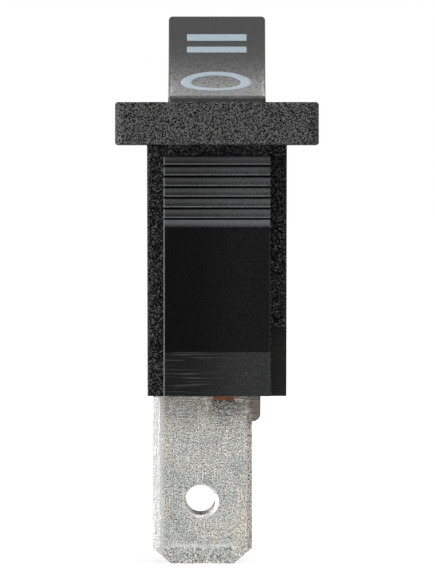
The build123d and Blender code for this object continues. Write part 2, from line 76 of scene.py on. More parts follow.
GRAIN_PITCH = 0.1 * MM
TONGUE_BACK = 11.6 * MM
TONGUE_TOP = -0.69 * MM
STEP_PITCH, STEP_COUNT = 0.675 * MM, 6
CREST_TOP = TONGUE_TOP - STEP_COUNT * STEP_PITCH
CREST_FOOT = -5.21 * MM
CREST_LEVELS = (CREST_FOOT, CREST_FOOT + 0.3 * MM, CREST_TOP - 0.05 * MM, CREST_TOP)
KNEE = -13.15 * MM
NOTCH_SIDE = 3.465 * MM
NOTCH_TOP = -11.55 * MM
NOTCH_REACH = 1.5 * MM
HALF_FACE = 3.4 * MM
HOUSING_CLOUD = 1.2 * MM
GRAIN_DEPTH, SMOOTH_DEPTH, SCUFF_DEPTH = 0.06 * MM, 0.008 * MM, 0.01 * MM
SCUFF_STRETCH = (330, 330, 13000)
EDGE = 0.03 * MM
TONGUE_SIDE = 3.32 * MM
BEZEL_BLACK = (0.046, 0.046, 0.045, 1)
# The case is painted darker than the bezel: painted shade under the bezel's overhang.
SHADED_CASE_BLACK = (0.0095, 0.009, 0.0085, 1)
# The tongue's face below the crest is painted darkest: painted shade, as it leans down away from the light.
SHADED_TONGUE_BLACK = (0.0062, 0.0062, 0.0062, 1)
# Paler grey on the steps, which face a little upwards, and on the recess above the tongue: painted light.
PAINTED_LIGHT_GREY = (0.030, 0.031, 0.032, 1)
# The upright feet are painted paler than the tongue's face above them: painted light.
LIT_FOOT_GREY = (0.013, 0.0133, 0.0137, 1)
NOTCH_BLACK = (0.021, 0.0205, 0.02, 1)
# Pale grey for the scuffs and specks on the feet, for paler edges, and for painted glints and painted highlights
# on the grain, the steps, the crest and the flanks.
WEAR_AND_HIGHLIGHT_GREY = (0.20, 0.205, 0.21, 1)
# Painted shade in the grooves between the pads of the steps.
GROOVE_SHADE_BLACK = (0.0008, 0.0008, 0.0008, 1)


def feed(tree, socket, value):
    """Sets a socket to a value, or links it where the value is another node's output."""
    if isinstance(value, bpy.types.NodeSocket):
        tree.links.new(value, socket)
    else:
        socket.default_value = value


def node(tree, kind, *values, settings=None, **named):
    """New shader node with its settings made, and its sockets fed in order or by name."""
    made = tree.nodes.new("ShaderNode" + kind)
    for key, value in (settings or {}).items():
        setattr(made, key, value)
    for key, value in enumerate(values):
        feed(tree, made.inputs[key], value)
    for key, value in named.items():
        feed(tree, made.inputs[key.replace("_", " ")], value)
    return made


def calc(tree, operation, *values):
    """Result of a Math node."""
    return node(tree, "Math", *values, settings={"operation": operation}).outputs[0]


def joined(tree, operation, *values, output=0):
    """Result of a Vector Math node."""
    return node(tree, "VectorMath", *values, settings={"operation": operation}).outputs[output]


def product(tree, first, *others):
    """Several values or masks multiplied together."""
    for other in others:
        first = calc(tree, "MULTIPLY", first, other)
    return first


def rise(tree, value, low, high, to_low=0.0, to_high=1.0):
    """Smooth step: to_low where the value is under low, and to_high where it is over high."""
    settings = {"interpolation_type": "SMOOTHSTEP"}
    return node(tree, "MapRange", value, low, high, to_low, to_high, settings=settings).outputs[0]


def above(tree, value, level):
    """Mask that is 1 past a level, with a soft edge."""
    return rise(tree, value, level - EDGE, level + EDGE)


def below(tree, value, level):
    """Mask that is 1 under a level, with a soft edge."""
    return rise(tree, value, level - EDGE, level + EDGE, 1.0, 0.0)


def between(tree, value, low, rise_end, fall_start, high):
    """Mask that rises from low to rise_end, holds 1 and falls from fall_start to high."""
    return product(tree, rise(tree, value, low, rise_end), rise(tree, value, fall_start, high, 1.0, 0.0))


def paint(tree, mask, under, over):
    """Colour under, covered by colour over where the mask is 1. A Mix node has a set of sockets
    for each kind of value, and those for colours are its inputs 6 and 7 and its output 2."""
    mixer = node(tree, "Mix", mask, settings={"data_type": "RGBA"})
    feed(tree, mixer.inputs[6], under)
    feed(tree, mixer.inputs[7], over)
    return mixer.outputs[2]


def paint_layers(tree, colour, layers):
    """Colour covered by one layer after another, each a mask and its colour."""
    for mask, over in layers:
        colour = paint(tree, mask, colour, over)
    return colour


def scaled(tree, vector, value):
    """Vector made longer or shorter by a value."""
    return node(tree, "VectorMath", vector, settings={"operation": "SCALE"}, Scale=value).outputs[0]


def shade(tree, colour, value):
    """Colour made darker or lighter by a value."""
    return scaled(tree, colour if isinstance(colour, bpy.types.NodeSocket) else colour[:3], value)


def bumped(tree, depth, height, normal=None):
    """Normal of a surface whose relief has this depth in metres, on top of another relief if its
    normal is given."""
    under = {"Normal": normal} if normal else {}
    return node(tree, "Bump", Height=height, Distance=depth, **under).outputs[0]


def place(tree):
    """X, Y and Z of a point of the piece, and the point itself, in metres."""
    point = node(tree, "TexCoord").outputs["Object"]
    return (*node(tree, "SeparateXYZ", point).outputs, point)


def noise(tree, point, size, detail=2.0, roughness=0.5):
    """Cloudy value with spots of about this size in metres."""
    made = node(tree, "TexNoise", point, Scale=1 / size, Detail=detail, Roughness=roughness)
    return made.outputs["Fac"]


def new_group(name, inputs, outputs):
    """Shader node group: its sockets by name, its input node and its output node."""
    tree = bpy.data.node_groups.new(name, "ShaderNodeTree")
    for label, (kind, value) in inputs.items():
        socket = tree.interface.new_socket(label, in_out="INPUT", socket_type="NodeSocket" + kind)
        socket.default_value = value
    for label in outputs:
        tree.interface.new_socket(label, in_out="OUTPUT", socket_type="NodeSocketFloat")
    return tree, tree.nodes.new("NodeGroupInput").outputs, tree.nodes.new("NodeGroupOutput").inputs


def use(tree, group, **values):
    """Outputs of a node group placed in a material with its own values."""
    return node(tree, "Group", settings={"node_tree": group}, **values).outputs


def new_material(name, **constants):
    """Material with one Principled shader: the material, its node tree and the shader's sockets."""
    made = bpy.data.materials.new(name)
    made.use_nodes = True
    sockets = made.node_tree.nodes["Principled BSDF"].inputs
    for key, value in constants.items():
        sockets[key.replace("_", " ")].default_value = value
    return made, made.node_tree, sockets


def finish_shader(tree, sockets, **values):
    """Links colours, roughness and so on to the shader."""
    for key, value in values.items():
        feed(tree, sockets[key.replace("_", " ")], value)


def dress(piece, finish):
    """The piece shows one finish all over."""
    piece.data.materials.clear()
    piece.data.materials.append(finish)


def spark_grain():
    """Spark-eroded skin, a rough landscape of pits and tops. Height is noise at the pitch with finer
    noise on it, Tops is 1 on the tops and 0 in the pits, and Glint is 1 on the few that flash."""
    tree, given, out = new_group(
        "spark_grain", {"Pitch": ("Float", GRAIN_PITCH)}, ("Height", "Tops", "Glint")
    )
    point = node(tree, "TexCoord").outputs["Object"]
    scale = calc(tree, "DIVIDE", 1.0, given["Pitch"])
    rough = node(tree, "TexNoise", point, Scale=scale, Detail=2.0, Roughness=0.6).outputs["Fac"]
    other = calc(tree, "MULTIPLY", scale, 1.3)
    finer = node(tree, "TexNoise", point, Scale=other, Detail=1.0, Distortion=0.6).outputs["Fac"]
    height = calc(tree, "MULTIPLY_ADD", finer, 0.5, calc(tree, "MULTIPLY", rough, 0.7))
    tree.links.new(height, out["Height"])
    tree.links.new(rise(tree, height, 0.56, 0.65), out["Tops"])
    tree.links.new(rise(tree, finer, 0.57, 0.66), out["Glint"])
    return tree


def rub_marks():
    """Fine parallel scratches. Noise is squeezed along one way by Stretch, in marks to the metre
    along X, Y and Z, and only its highest part, set by Share, shows."""
    tree, given, out = new_group(
        "rub_marks", {"Stretch": ("Vector", (500, 500, 9000)), "Share": ("Float", 0.3)}, ("Mask",)
    )
    point = node(tree, "TexCoord").outputs["Object"]
    drawn = joined(tree, "MULTIPLY", point, given["Stretch"])
    lines = node(tree, "TexNoise", drawn, Scale=1.0, Detail=1.0).outputs["Fac"]
    level = calc(tree, "SUBTRACT", 0.8, given["Share"])
    tree.links.new(rise(tree, lines, level, calc(tree, "ADD", level, 0.12)), out["Mask"])
    return tree


def edge_rub():
    """Worn edges: 1 where the surface turns within Width of the point, found by comparing the
    normal with the same normal rounded off over that width."""
    tree, given, out = new_group("edge_rub", {"Width": ("Float", 0.05 * MM)}, ("Mask",))
    soft = node(tree, "Bevel", given["Width"], settings={"samples": 6}).outputs[0]
    plain = node(tree, "NewGeometry").outputs["Normal"]
    match = joined(tree, "DOT_PRODUCT", soft, plain, output="Value")
    tree.links.new(rise(tree, match, 0.8, 0.99, 1.0, 0.0), out["Mask"])
    return tree


GRAIN, RUBS, EDGES = spark_grain(), rub_marks(), edge_rub()


def housing_regions(tree, x, y, z):
    """Masks of the regions of the housing, from the height and the distances out and aside."""
    out, aside = calc(tree, "ABSOLUTE", y), calc(tree, "ABSOLUTE", x)
    tongue = product(tree, above(tree, out, TONGUE_BACK), below(tree, z, TONGUE_TOP + EDGE))
    steps = product(tree, tongue, above(tree, z, CREST_FOOT))
    notched_side = below(tree, calc(tree, "MULTIPLY", calc(tree, "SIGN", y), x), 0.0)
    corner = product(tree, above(tree, aside, NOTCH_SIDE), below(tree, z, NOTCH_TOP), notched_side)
    corner = product(tree, corner, above(tree, out, TONGUE_BACK - NOTCH_REACH))
    smooth = calc(tree, "MAXIMUM", tongue, corner)
    return {
        "tongue": tongue,
        "steps": steps,
        "pads": product(tree, steps, above(tree, z, CREST_TOP)),
        "crest": product(tree, between(tree, z, *CREST_LEVELS), tongue),
        "foot": product(tree, tongue, below(tree, z, KNEE)),
        "flank": product(tree, tongue, above(tree, aside, TONGUE_SIDE)),
        "corner": corner,
        "recess": product(tree, above(tree, z, TONGUE_TOP), below(tree, aside, TONGUE_SIDE)),
        "bezel": above(tree, z, 0.0),
        "smooth": smooth,
        "grained": calc(tree, "SUBTRACT", 1.0, smooth),
    }


def pad_bands(tree, z):
    """Bands down each pad of the steps: its upper part and its rim, which get painted highlights,
    and the groove, which gets painted shade.
    """
    fallen = calc(tree, "DIVIDE", calc(tree, "SUBTRACT", TONGUE_TOP, z), STEP_PITCH)
    down = calc(tree, "FRACT", fallen)
    bright = between(tree, down, 0.06, 0.16, 0.3, 0.6)
    rim = between(tree, down, 0.72, 0.78, 0.8, 0.86)
    groove = calc(tree, "ADD", rise(tree, down, 0.84, 0.9), rise(tree, down, 0.0, 0.06, 1.0, 0.0))
    return bright, rim, groove


def shaded_region_colour(tree, part, grain, fine, side):
    """Colour of the housing: a black for each region, with painted shade on the case and the tongue's
    face and painted light on the recess, the steps and the feet, pale on the tops of the grain.
    """
    # The case and the tongue's face are painted darker as painted shade; the recess, the steps and the feet are
    # painted paler as painted light.
    colour = paint_layers(tree, SHADED_CASE_BLACK, (
        (part["recess"], PAINTED_LIGHT_GREY),
        (part["bezel"], BEZEL_BLACK),
        (part["tongue"], SHADED_TONGUE_BLACK),
        (part["steps"], PAINTED_LIGHT_GREY),
        (part["foot"], LIT_FOOT_GREY),
        (part["corner"], NOTCH_BLACK),
    ))
    # The grain's pits are painted darker and its tops paler: painted shade and light of its relief.
    skin = calc(tree, "MULTIPLY_ADD", grain["Tops"], 2.3, 0.06)
    even = rise(tree, side, 0.0, 1.0, 0.5, 1.25)
    even = product(tree, even, rise(tree, fine["Tops"], 0.0, 1.0, 0.6, 1.5))
    skins = calc(tree, "ADD", product(tree, skin, part["grained"]), product(tree, even, part["smooth"]))
    return shade(tree, colour, skins)


def wear_and_highlight_colour(tree, colour, part, grain, fine, scuffs, side, x, z):
    """Colour with pale streaks and specks on the feet, painted glints of the grain, painted
    highlights on the rims and upper parts of the steps, on the crest and on the flanks, and painted shade in the
    grooves."""
    foot, pads = part["foot"], part["pads"]
    bright, rim, groove = pad_bands(tree, z)
    # Painted glints where facets of the grain would flash.
    glint = product(tree, grain["Glint"], part["grained"], rise(tree, part["bezel"], 0.0, 1.0, 0.6, 0.25))
    streaks = product(tree, scuffs, foot, rise(tree, side, 0.2, 0.7, 0.2, 0.05))
    specks = product(tree, fine["Glint"], foot, rise(tree, side, 0.3, 1.0, 0.04, 0.16))
    broken = rise(tree, fine["Height"], 0.45, 0.62, 0.35, 0.75)
    # Painted highlight down the flanks of the tongue, strong on the left where the light comes from and faint on
    # the right.
    light_from_left = rise(tree, x, 0.0, 1.0 * MM, 1.3, 0.08)
    flank = product(tree, part["flank"], light_from_left, rise(tree, fine["Height"], 0.45, 0.6, 0.4, 1.0))
    # Pale marks: scuffs and specks on the feet, painted glints, and painted highlights on the steps, the crest and
    # the flanks.
    rubbed = (
        glint, streaks, specks, product(tree, bright, pads, 0.16), product(tree, rim, pads, broken),
        product(tree, part["crest"], 0.35), flank,
    )
    colour = paint_layers(tree, colour, ((mask, WEAR_AND_HIGHLIGHT_GREY) for mask in rubbed))
    # Painted shade in the grooves.
    return paint(tree, product(tree, groove, pads), colour, GROOVE_SHADE_BLACK)


def housing_plastic():
    """Black nylon: grained bezel and case, smooth tongues, scuffed feet, painted light and shade on
    its regions and painted highlights on the step rims.
    """
    made, tree, sockets = new_material("housing_plastic", Specular_IOR_Level=0.03, Coat_Roughness=0.35)
    x, y, z, point = place(tree)
    part = housing_regions(tree, x, y, z)
    grained, smooth, foot = part["grained"], part["smooth"], part["foot"]
    grain = use(tree, GRAIN, Pitch=GRAIN_PITCH)
    fine = use(tree, GRAIN, Pitch=0.8 * GRAIN_PITCH)
    scuffs = use(tree, RUBS, Stretch=SCUFF_STRETCH, Share=0.25)["Mask"]
    cloud = noise(tree, point, HOUSING_CLOUD, 4.0)
    side = rise(tree, x, -HALF_FACE, HALF_FACE)
    colour = shaded_region_colour(tree, part, grain, fine, side)
    colour = wear_and_highlight_colour(tree, colour, part, grain, fine, scuffs, side, x, z)

    shine = product(tree, rise(tree, part["bezel"], 0.0, 1.0, 0.05, 0.12), grained, grain["Tops"])
    shine = calc(tree, "ADD", shine, product(tree, part["steps"], 0.2))
    shine = calc(tree, "ADD", shine, product(tree, foot, rise(tree, side, 0.0, 1.0, 0.06, 0.2)))
    roughness = rise(tree, cloud, 0.3, 0.7, 0.42, 0.58)
    normal = bumped(tree, GRAIN_DEPTH, product(tree, grain["Height"], grained))
    normal = bumped(tree, SMOOTH_DEPTH, product(tree, fine["Height"], smooth), normal)
    normal = bumped(tree, SCUFF_DEPTH, product(tree, scuffs, foot), normal)
    finish_shader(tree, sockets, Base_Color=colour, Roughness=roughness, Coat_Weight=shine, Normal=normal)
    return made


dress(nodes["housing"], housing_plastic())


# Terminal base: a black moulding pushed into the foot of the case. Its four catches snap into
# the windows of the long walls, and the necks of the terminals are staked in its slots.

BASE_BLACK = (0.020, 0.020, 0.021, 1)
BASE_CLOUD, BASE_DEPTH, BASE_EDGE = 1.5 * MM, 0.01 * MM, 0.05 * MM


def base_plastic():
    """Plain moulded black, slightly cloudy."""
    made, tree, sockets = new_material("base_plastic", Specular_IOR_Level=0.3)
    cloud = noise(tree, place(tree)[3], BASE_CLOUD, 4.0)
    grain = use(tree, GRAIN, Pitch=0.6 * GRAIN_PITCH)
    edges = use(tree, EDGES, Width=BASE_EDGE)["Mask"]
    colour = shade(tree, BASE_BLACK, rise(tree, cloud, 0.3, 0.7, 0.8, 1.3))
    colour = paint(tree, product(tree, edges, 0.25), colour, WEAR_AND_HIGHLIGHT_GREY)
    normal = bumped(tree, BASE_DEPTH, grain["Height"])
    roughness = rise(tree, cloud, 0.3, 0.7, 0.4, 0.6)
    finish_shader(tree, sockets, Base_Color=colour, Roughness=roughness, Normal=normal)
    return made


dress(nodes["terminal_base"], base_plastic())


# Terminals: three 6.3 x 0.8 mm tabs stamped from strip that was tinned first, so the faces and
# the coined bevels are grey tin and the sheared edges show the red-brown metal of the strip. The
# bevels of the left-hand edge are pressed in here, and a punch has staked each tab in the base.

TIN = (0.375, 0.372, 0.345, 1)
COOL_TIN = (0.315, 0.323, 0.315, 1)
WARM_TIN = (0.41, 0.388, 0.338, 1)
# Pale tin for rubs and scores, and for painted highlights beside the pressed bevels, along the crease and round
# the hole.
BURNISH_AND_HIGHLIGHT_TIN = (0.56, 0.56, 0.555, 1)
PRESSED_TIN = (0.335, 0.335, 0.331, 1)
# Painted shade on the right-hand bevels, which face away from the light.
SHADED_BEVEL_TIN = (0.29, 0.265, 0.23, 1)
# Dark brown towards the root, and on the shoulder as painted shade, as it turns away from the light.
DARK_BROWN = (0.13, 0.105, 0.085, 1)
BARE_STRIP = (0.50, 0.235, 0.15, 1)
COPPER_DARK = (0.18, 0.09, 0.062, 1)
STAKE_LEFT, STAKE_RIGHT = -0.28 * MM, 1.12 * MM
STAKE_TOP, STAKE_BARE, STAKE_FOOT = -15.94 * MM, -16.15 * MM, -17.19 * MM
TIP_CREASE, TIP_FOOT = -25.43 * MM, -26.5 * MM
CREASE_SPAN = (-3.4 * MM, -2.6 * MM, 0.4 * MM, 1.6 * MM)
CREASE_LEVELS = [TIP_CREASE + rim * MM for rim in (-0.25, -0.1, 0.0, 0.12)]
BEATEN_SPAN = (STAKE_LEFT - 0.5 * MM, STAKE_LEFT + 0.3 * MM, STAKE_RIGHT, STAKE_RIGHT + 0.9 * MM)
SPECKLE, BLOTCH, TIN_CLOUD, TIN_DRIFT = 0.085 * MM, 0.25 * MM, 1.6 * MM, 3.5 * MM
TIN_DEPTH, BEATEN_DEPTH, RUB_DEPTH = 0.012 * MM, 0.03 * MM, 0.006 * MM
LEVEL_STRETCH, UPRIGHT_STRETCH = (700, 700, 9000), (9000, 9000, 900)
BARE_RAGGED, BEATEN_RAGGED, SHOULDER_RAGGED, TIP_RAGGED = 0.2 * MM, 0.9 * MM, 1.2 * MM, 0.5 * MM
BEATEN_FADE, SHOULDER_FADE = 0.6 * MM, 0.7 * MM
WORN_WIDTH = 0.1 * MM
ROOT_FOOT, ROOT_TOP = -19.0 * MM, -16.2 * MM
RIM_RADIUS, RIM_SIDE, RIM_DROP = 1.08 * MM, 0.12 * MM, -0.09 * MM
SHOULDER_SIDE, SHOULDER_FOOT = 2.2 * MM, -17.8 * MM
COIN_WIDTH, COIN_DEPTH = 0.45 * MM, 0.16 * MM
COIN_EDGE, COIN_TOP = -4.07 * MM, -16.0 * MM
STRIP_HALF = 0.4 * MM
CUT = 0.1 * MM
WELD_GAP = 0.0005 * MM
SHARP_FROM = radians(16)

# Rubs and scores on the outer face: the start and end of each across and up, its width, all in
# mm, and how far it shows.
MARKS = (
    ((-0.80, -17.62), (-0.80, -17.93), 0.05, 0.6),
    ((-0.80, -17.93), (-0.20, -17.93), 0.05, 0.7),
    ((-0.78, -16.05), (-0.60, -16.80), 0.09, 0.7),
    ((-2.14, -21.60), (-2.14, -23.05), 0.06, 0.6),
    ((0.02, -25.20), (0.40, -25.23), 0.035, 1.0),
    ((0.72, -25.26), (1.22, -25.32), 0.035, 1.0),
    ((-2.70, -25.05), (-2.84, -25.55), 0.10, 0.6),
    ((-2.60, -26.05), (-2.20, -25.70), 0.12, 0.6),
)

mounts = {mount["name"]: mount["pos_m"] for mount in frame["record"]["mounts"]}


def scratch():
    """Straight mark in the XZ plane: 1 within Width of the line between From and To."""
    tree, given, out = new_group(
        "scratch",
        {"From": ("Vector", (0, 0, 0)), "To": ("Vector", (0, 0, 0)), "Width": ("Float", 0.05 * MM)},
        ("Mask",),
    )
    point = node(tree, "TexCoord").outputs["Object"]
    flat = joined(tree, "MULTIPLY", point, (1, 0, 1))
    along = joined(tree, "SUBTRACT", given["To"], given["From"])
    reach = joined(tree, "SUBTRACT", flat, given["From"])
    dots = [joined(tree, "DOT_PRODUCT", first, along, output="Value") for first in (reach, along)]
    share = node(tree, "Clamp", calc(tree, "DIVIDE", *dots)).outputs[0]
    gap = joined(tree, "DISTANCE", reach, scaled(tree, along, share), output="Value")
    tree.links.new(rise(tree, gap, 0.0, given["Width"], 1.0, 0.0), out["Mask"])
    return tree


SCRATCH = scratch()


def tab_regions(tree, x, z, point, blotch):
    """Masks of the tab's regions: flat faces and bevels by the way they face, the tip, the staked
    pocket with its bare strip at the root and beaten dimple under it, the shoulder and the rim
    of the hole. Blotches make the borders of the last ones ragged."""
    across, front = node(tree, "SeparateXYZ", node(tree, "TexCoord").outputs["Normal"]).outputs[:2]
    flat = rise(tree, calc(tree, "ABSOLUTE", front), 0.25, 0.6)
    outer = below(tree, front, 0.0)
    bevelled = product(tree, flat, below(tree, z, STAKE_TOP))
    crease = product(tree, between(tree, z, *CREASE_LEVELS), flat, between(tree, x, *CREASE_SPAN))
    pocket = product(tree, above(tree, x, STAKE_LEFT), below(tree, x, STAKE_RIGHT), outer)
    bare_foot = above(tree, calc(tree, "MULTIPLY_ADD", blotch, BARE_RAGGED, z), STAKE_BARE)
    bare = product(tree, pocket, bare_foot, below(tree, z, STAKE_TOP + EDGE))
    beaten_foot = calc(tree, "MULTIPLY_ADD", blotch, BEATEN_RAGGED, z)
    beaten_foot = rise(tree, beaten_foot, STAKE_FOOT, STAKE_FOOT + BEATEN_FADE)
    beaten = product(tree, between(tree, x, *BEATEN_SPAN), beaten_foot)
    dimple = product(tree, beaten, outer, calc(tree, "SUBTRACT", 1.0, bare))
    shoulder_edge = calc(tree, "MULTIPLY_ADD", blotch, SHOULDER_RAGGED, x)
    tarnish = rise(tree, shoulder_edge, SHOULDER_SIDE, SHOULDER_SIDE + SHOULDER_FADE)
    hole = mounts["tab_hole_near"]
    hole_rim = (hole[0] + RIM_SIDE, 0, hole[2] + RIM_DROP)
    drawn_flat = joined(tree, "MULTIPLY", point, (1, 0, 1))
    from_hole = joined(tree, "DISTANCE", drawn_flat, hole_rim, output="Value")
    worn_side = product(tree, use(tree, EDGES, Width=WORN_WIDTH)["Mask"], below(tree, z, SHOULDER_FOOT))
    return {
        "flat": flat,
        "outer": product(tree, flat, outer),
        "left": product(tree, bevelled, rise(tree, across, -0.3, -0.12, 1.0, 0.0)),
        "right": product(tree, bevelled, rise(tree, across, 0.12, 0.3)),
        "crease": crease,
        "bare": bare,
        "dimple": dimple,
        "rough": calc(tree, "MAXIMUM", below(tree, z, TIP_CREASE), dimple),
        "tarnish": product(tree, tarnish, above(tree, z, SHOULDER_FOOT)),
        "hole_rim": rise(tree, from_hole, RIM_RADIUS - EDGE, RIM_RADIUS + EDGE, 1.0, 0.0),
        "sheared": calc(tree, "SUBTRACT", 1.0, flat),
        "worn_edge": product(tree, worn_side, rise(tree, across, -0.3, -0.1)),
    }


def plated_colour(tree, part, speckle, blotch, x, z, point):
    """Colour of the tin: cool and warm clouds, brown towards the root, painted shade on the right
    bevels, light and dark grains, a painted highlight beside the pressed bevels and a darker dimple."""
    cloud = noise(tree, point, TIN_CLOUD, 3.0)
    drift = noise(tree, point, TIN_DRIFT, 2.0)
    root = product(tree, rise(tree, z, ROOT_FOOT, ROOT_TOP), 0.62, rise(tree, blotch, 0.35, 0.6))
    colour = paint_layers(tree, TIN, (
        (rise(tree, cloud, 0.4, 0.65), COOL_TIN),
        (rise(tree, drift, 0.5, 0.7), WARM_TIN),
        (root, DARK_BROWN),
        # Painted shade on the right-hand bevels.
        (product(tree, part["right"], 0.8), SHADED_BEVEL_TIN),
    ))
    low = rise(tree, part["rough"], 0.0, 1.0, 0.12, 0.08)
    high = rise(tree, part["rough"], 0.0, 1.0, 2.0, 2.05)
    grains = node(tree, "MapRange", speckle, 0.36, 0.64, low, high).outputs[0]
    colour = shade(tree, colour, product(tree, grains, rise(tree, blotch, 0.3, 0.7, 0.88, 1.1)))
    ragged_foot = calc(tree, "MULTIPLY_ADD", blotch, TIP_RAGGED, z)
    colour = shade(tree, colour, rise(tree, ragged_foot, TIP_FOOT, TIP_CREASE, 0.95, 1.0))
    # Painted highlight on the face beside each pressed bevel.
    beside = rise(tree, x, COIN_EDGE + COIN_WIDTH, COIN_EDGE + 2 * COIN_WIDTH, 0.7, 0.0)
    beside = product(tree, beside, part["flat"], rise(tree, part["left"], 0.0, 1.0, 1.0, 0.0))
    colour = paint(tree, beside, colour, BURNISH_AND_HIGHLIGHT_TIN)
    return shade(tree, colour, calc(tree, "MULTIPLY_ADD", part["dimple"], -0.25, 1.0))


def marked_colour(tree, colour, part, rubs, speckle, blotch):
    """Colour with what has marked the tin: the pressed bevels, rubs and scores, with painted shade
    in brown on the shoulder and a painted highlight along the crease."""
    rub_share = rise(tree, part["left"], 0.0, 1.0, 0.2, 0.0)
    colour = paint_layers(tree, colour, (
        (product(tree, part["left"], 0.85), PRESSED_TIN),
        (product(tree, rubs, rub_share), BURNISH_AND_HIGHLIGHT_TIN),
        # Painted shade in brown on the shoulder, which turns away from the light.
        (product(tree, part["tarnish"], rise(tree, speckle, 0.38, 0.6, 0.35, 1.0)), DARK_BROWN),
        # Painted highlight along the crease of the tip.
        (product(tree, part["crease"], rise(tree, blotch, 0.3, 0.6, 0.3, 0.9)), BURNISH_AND_HIGHLIGHT_TIN),
    ))
    for start, end, width, share in MARKS:
        ends = {"From": (start[0] * MM, 0, start[1] * MM), "To": (end[0] * MM, 0, end[1] * MM)}
        mark = use(tree, SCRATCH, Width=width * MM, **ends)["Mask"]
        colour = paint(tree, product(tree, mark, part["outer"], share), colour, BURNISH_AND_HIGHLIGHT_TIN)
    return colour


def bared_colour(tree, colour, part, speckle, blotch):
    """Colour with the strip's own metal where the tin is torn or worn off, and a painted highlight
    round the rim of the hole."""
    copper = paint(tree, rise(tree, speckle, 0.4, 0.6), BARE_STRIP, COPPER_DARK)
    torn = rise(tree, blotch, 0.36, 0.55, 0.2, 0.85)
    return paint_layers(tree, colour, (
        # Painted highlight round the rim of the hole.
        (product(tree, part["hole_rim"], 0.9), BURNISH_AND_HIGHLIGHT_TIN),
        (part["bare"], copper),
        (product(tree, part["sheared"], torn), copper),
        (product(tree, part["worn_edge"], torn, 0.9), BARE_STRIP),
    ))


def tinned_strip():
    """Mottled tin plate, grainy, with rubs both ways, worn and bare at the sheared edges, with the
    punched pocket at the root bare and rough and painted shade in brown on the shoulder."""
    made, tree, sockets = new_material("tinned_strip", Metallic=1.0)
    x, _, z, point = place(tree)
    speckle = noise(tree, point, SPECKLE, 2.0, 0.7)
    blotch = noise(tree, point, BLOTCH, 2.0, 0.6)
    level_rubs = use(tree, RUBS, Stretch=LEVEL_STRETCH, Share=0.27)["Mask"]
    upright_rubs = use(tree, RUBS, Stretch=UPRIGHT_STRETCH, Share=0.22)["Mask"]
    rubs = calc(tree, "MAXIMUM", level_rubs, upright_rubs)
    part = tab_regions(tree, x, z, point, blotch)
    colour = plated_colour(tree, part, speckle, blotch, x, z, point)
    colour = marked_colour(tree, colour, part, rubs, speckle, blotch)
    colour = bared_colour(tree, colour, part, speckle, blotch)

    roughness = rise(tree, speckle, 0.35, 0.7, 0.28, 0.46)
    roughness = calc(tree, "ADD", roughness, product(tree, part["left"], 0.08))
    normal = bumped(tree, TIN_DEPTH, calc(tree, "MULTIPLY_ADD", blotch, 0.8, speckle))
    normal = bumped(tree, BEATEN_DEPTH, product(tree, blotch, part["rough"]), normal)
    normal = bumped(tree, RUB_DEPTH, rubs, normal)
    finish_shader(tree, sockets, Base_Color=colour, Roughness=roughness, Normal=normal)
    return made


def mesh_piece(name, points, faces, smooth=True):
    """Object with its place in its vertices, at the origin."""
    mesh = bpy.data.meshes.new(name)
    mesh.from_pydata(points, [], faces)
    mesh.shade_smooth() if smooth else mesh.shade_flat()
    made = bpy.data.objects.new(name, mesh)
    bpy.context.scene.collection.objects.link(made)
    return made


def coin_wedges(y, foot):
    """Two closed wedges, one to each face of a tab whose middle plane is at y. Each is a triangle
    drawn down Z, whose long side runs through both edges of the bevel."""
    points, faces = [], []
    slope = COIN_DEPTH / COIN_WIDTH
    for side in (-1, 1):
        corners = np.array([
            (COIN_EDGE - CUT, STRIP_HALF - COIN_DEPTH - CUT * slope),
            (COIN_EDGE - CUT, STRIP_HALF + CUT),
            (COIN_EDGE + COIN_WIDTH + CUT / slope, STRIP_HALF + CUT),
        ]) * (1, side) + (0, y)
        first = len(points)
        points += [(*corner, z) for z in (foot - CUT, COIN_TOP) for corner in corners]
        loops = [(0, 1, 2), (5, 4, 3), (0, 3, 4, 1), (1, 4, 5, 2), (2, 5, 3, 0)]
        faces += [tuple(first + k for k in (loop if side > 0 else loop[::-1])) for loop in loops]
    return points, faces


def coined(name, mount, finish):
    """The terminal with the bevels of its left-hand edge pressed in, made from a merged copy."""
    wedges = mesh_piece("wedges", *coin_wedges(mount[1], mount[2]))
    made = bpy.data.objects.new("tinned_" + name, nodes[name].data.copy())
    bpy.context.scene.collection.objects.link(made)
    made.modifiers.new("merge", "WELD").merge_threshold = WELD_GAP
    press = made.modifiers.new("press", "BOOLEAN")
    press.operation, press.object = "DIFFERENCE", wedges
    shaped = bpy.data.meshes.new_from_object(made.evaluated_get(bpy.context.evaluated_depsgraph_get()))
    made.modifiers.clear()
    made.data = shaped
    if "custom_normal" in shaped.attributes:
        shaped.attributes.remove(shaped.attributes["custom_normal"])
    shaped.shade_smooth()
    shaped.set_sharp_from_angle(angle=SHARP_FROM)
    bpy.data.objects.remove(wedges)
    dress(made, finish)
    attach(made, "case")
    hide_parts(name)


terminal_finish = tinned_strip()
for end in ("near", "common", "far"):
    coined("terminal_" + end, mounts["tab_" + end], terminal_finish)


# Contacts: a copper bridge that rocks on the ridge of the middle terminal, with two silver
# rivets, and a fixed silver rivet on the ledge of each outer terminal.

BRIDGE_COPPER = (0.72, 0.36, 0.22, 1)
COPPER_STAIN = (0.34, 0.15, 0.08, 1)
SILVER = (0.80, 0.79, 0.76, 1)
ARC_SOOT = (0.10, 0.095, 0.09, 1)
STAIN_SIZE, METAL_EDGE, METAL_DEPTH = 0.9 * MM, 0.05 * MM, 0.006 * MM
METAL_STRETCH = (9000, 700, 700)


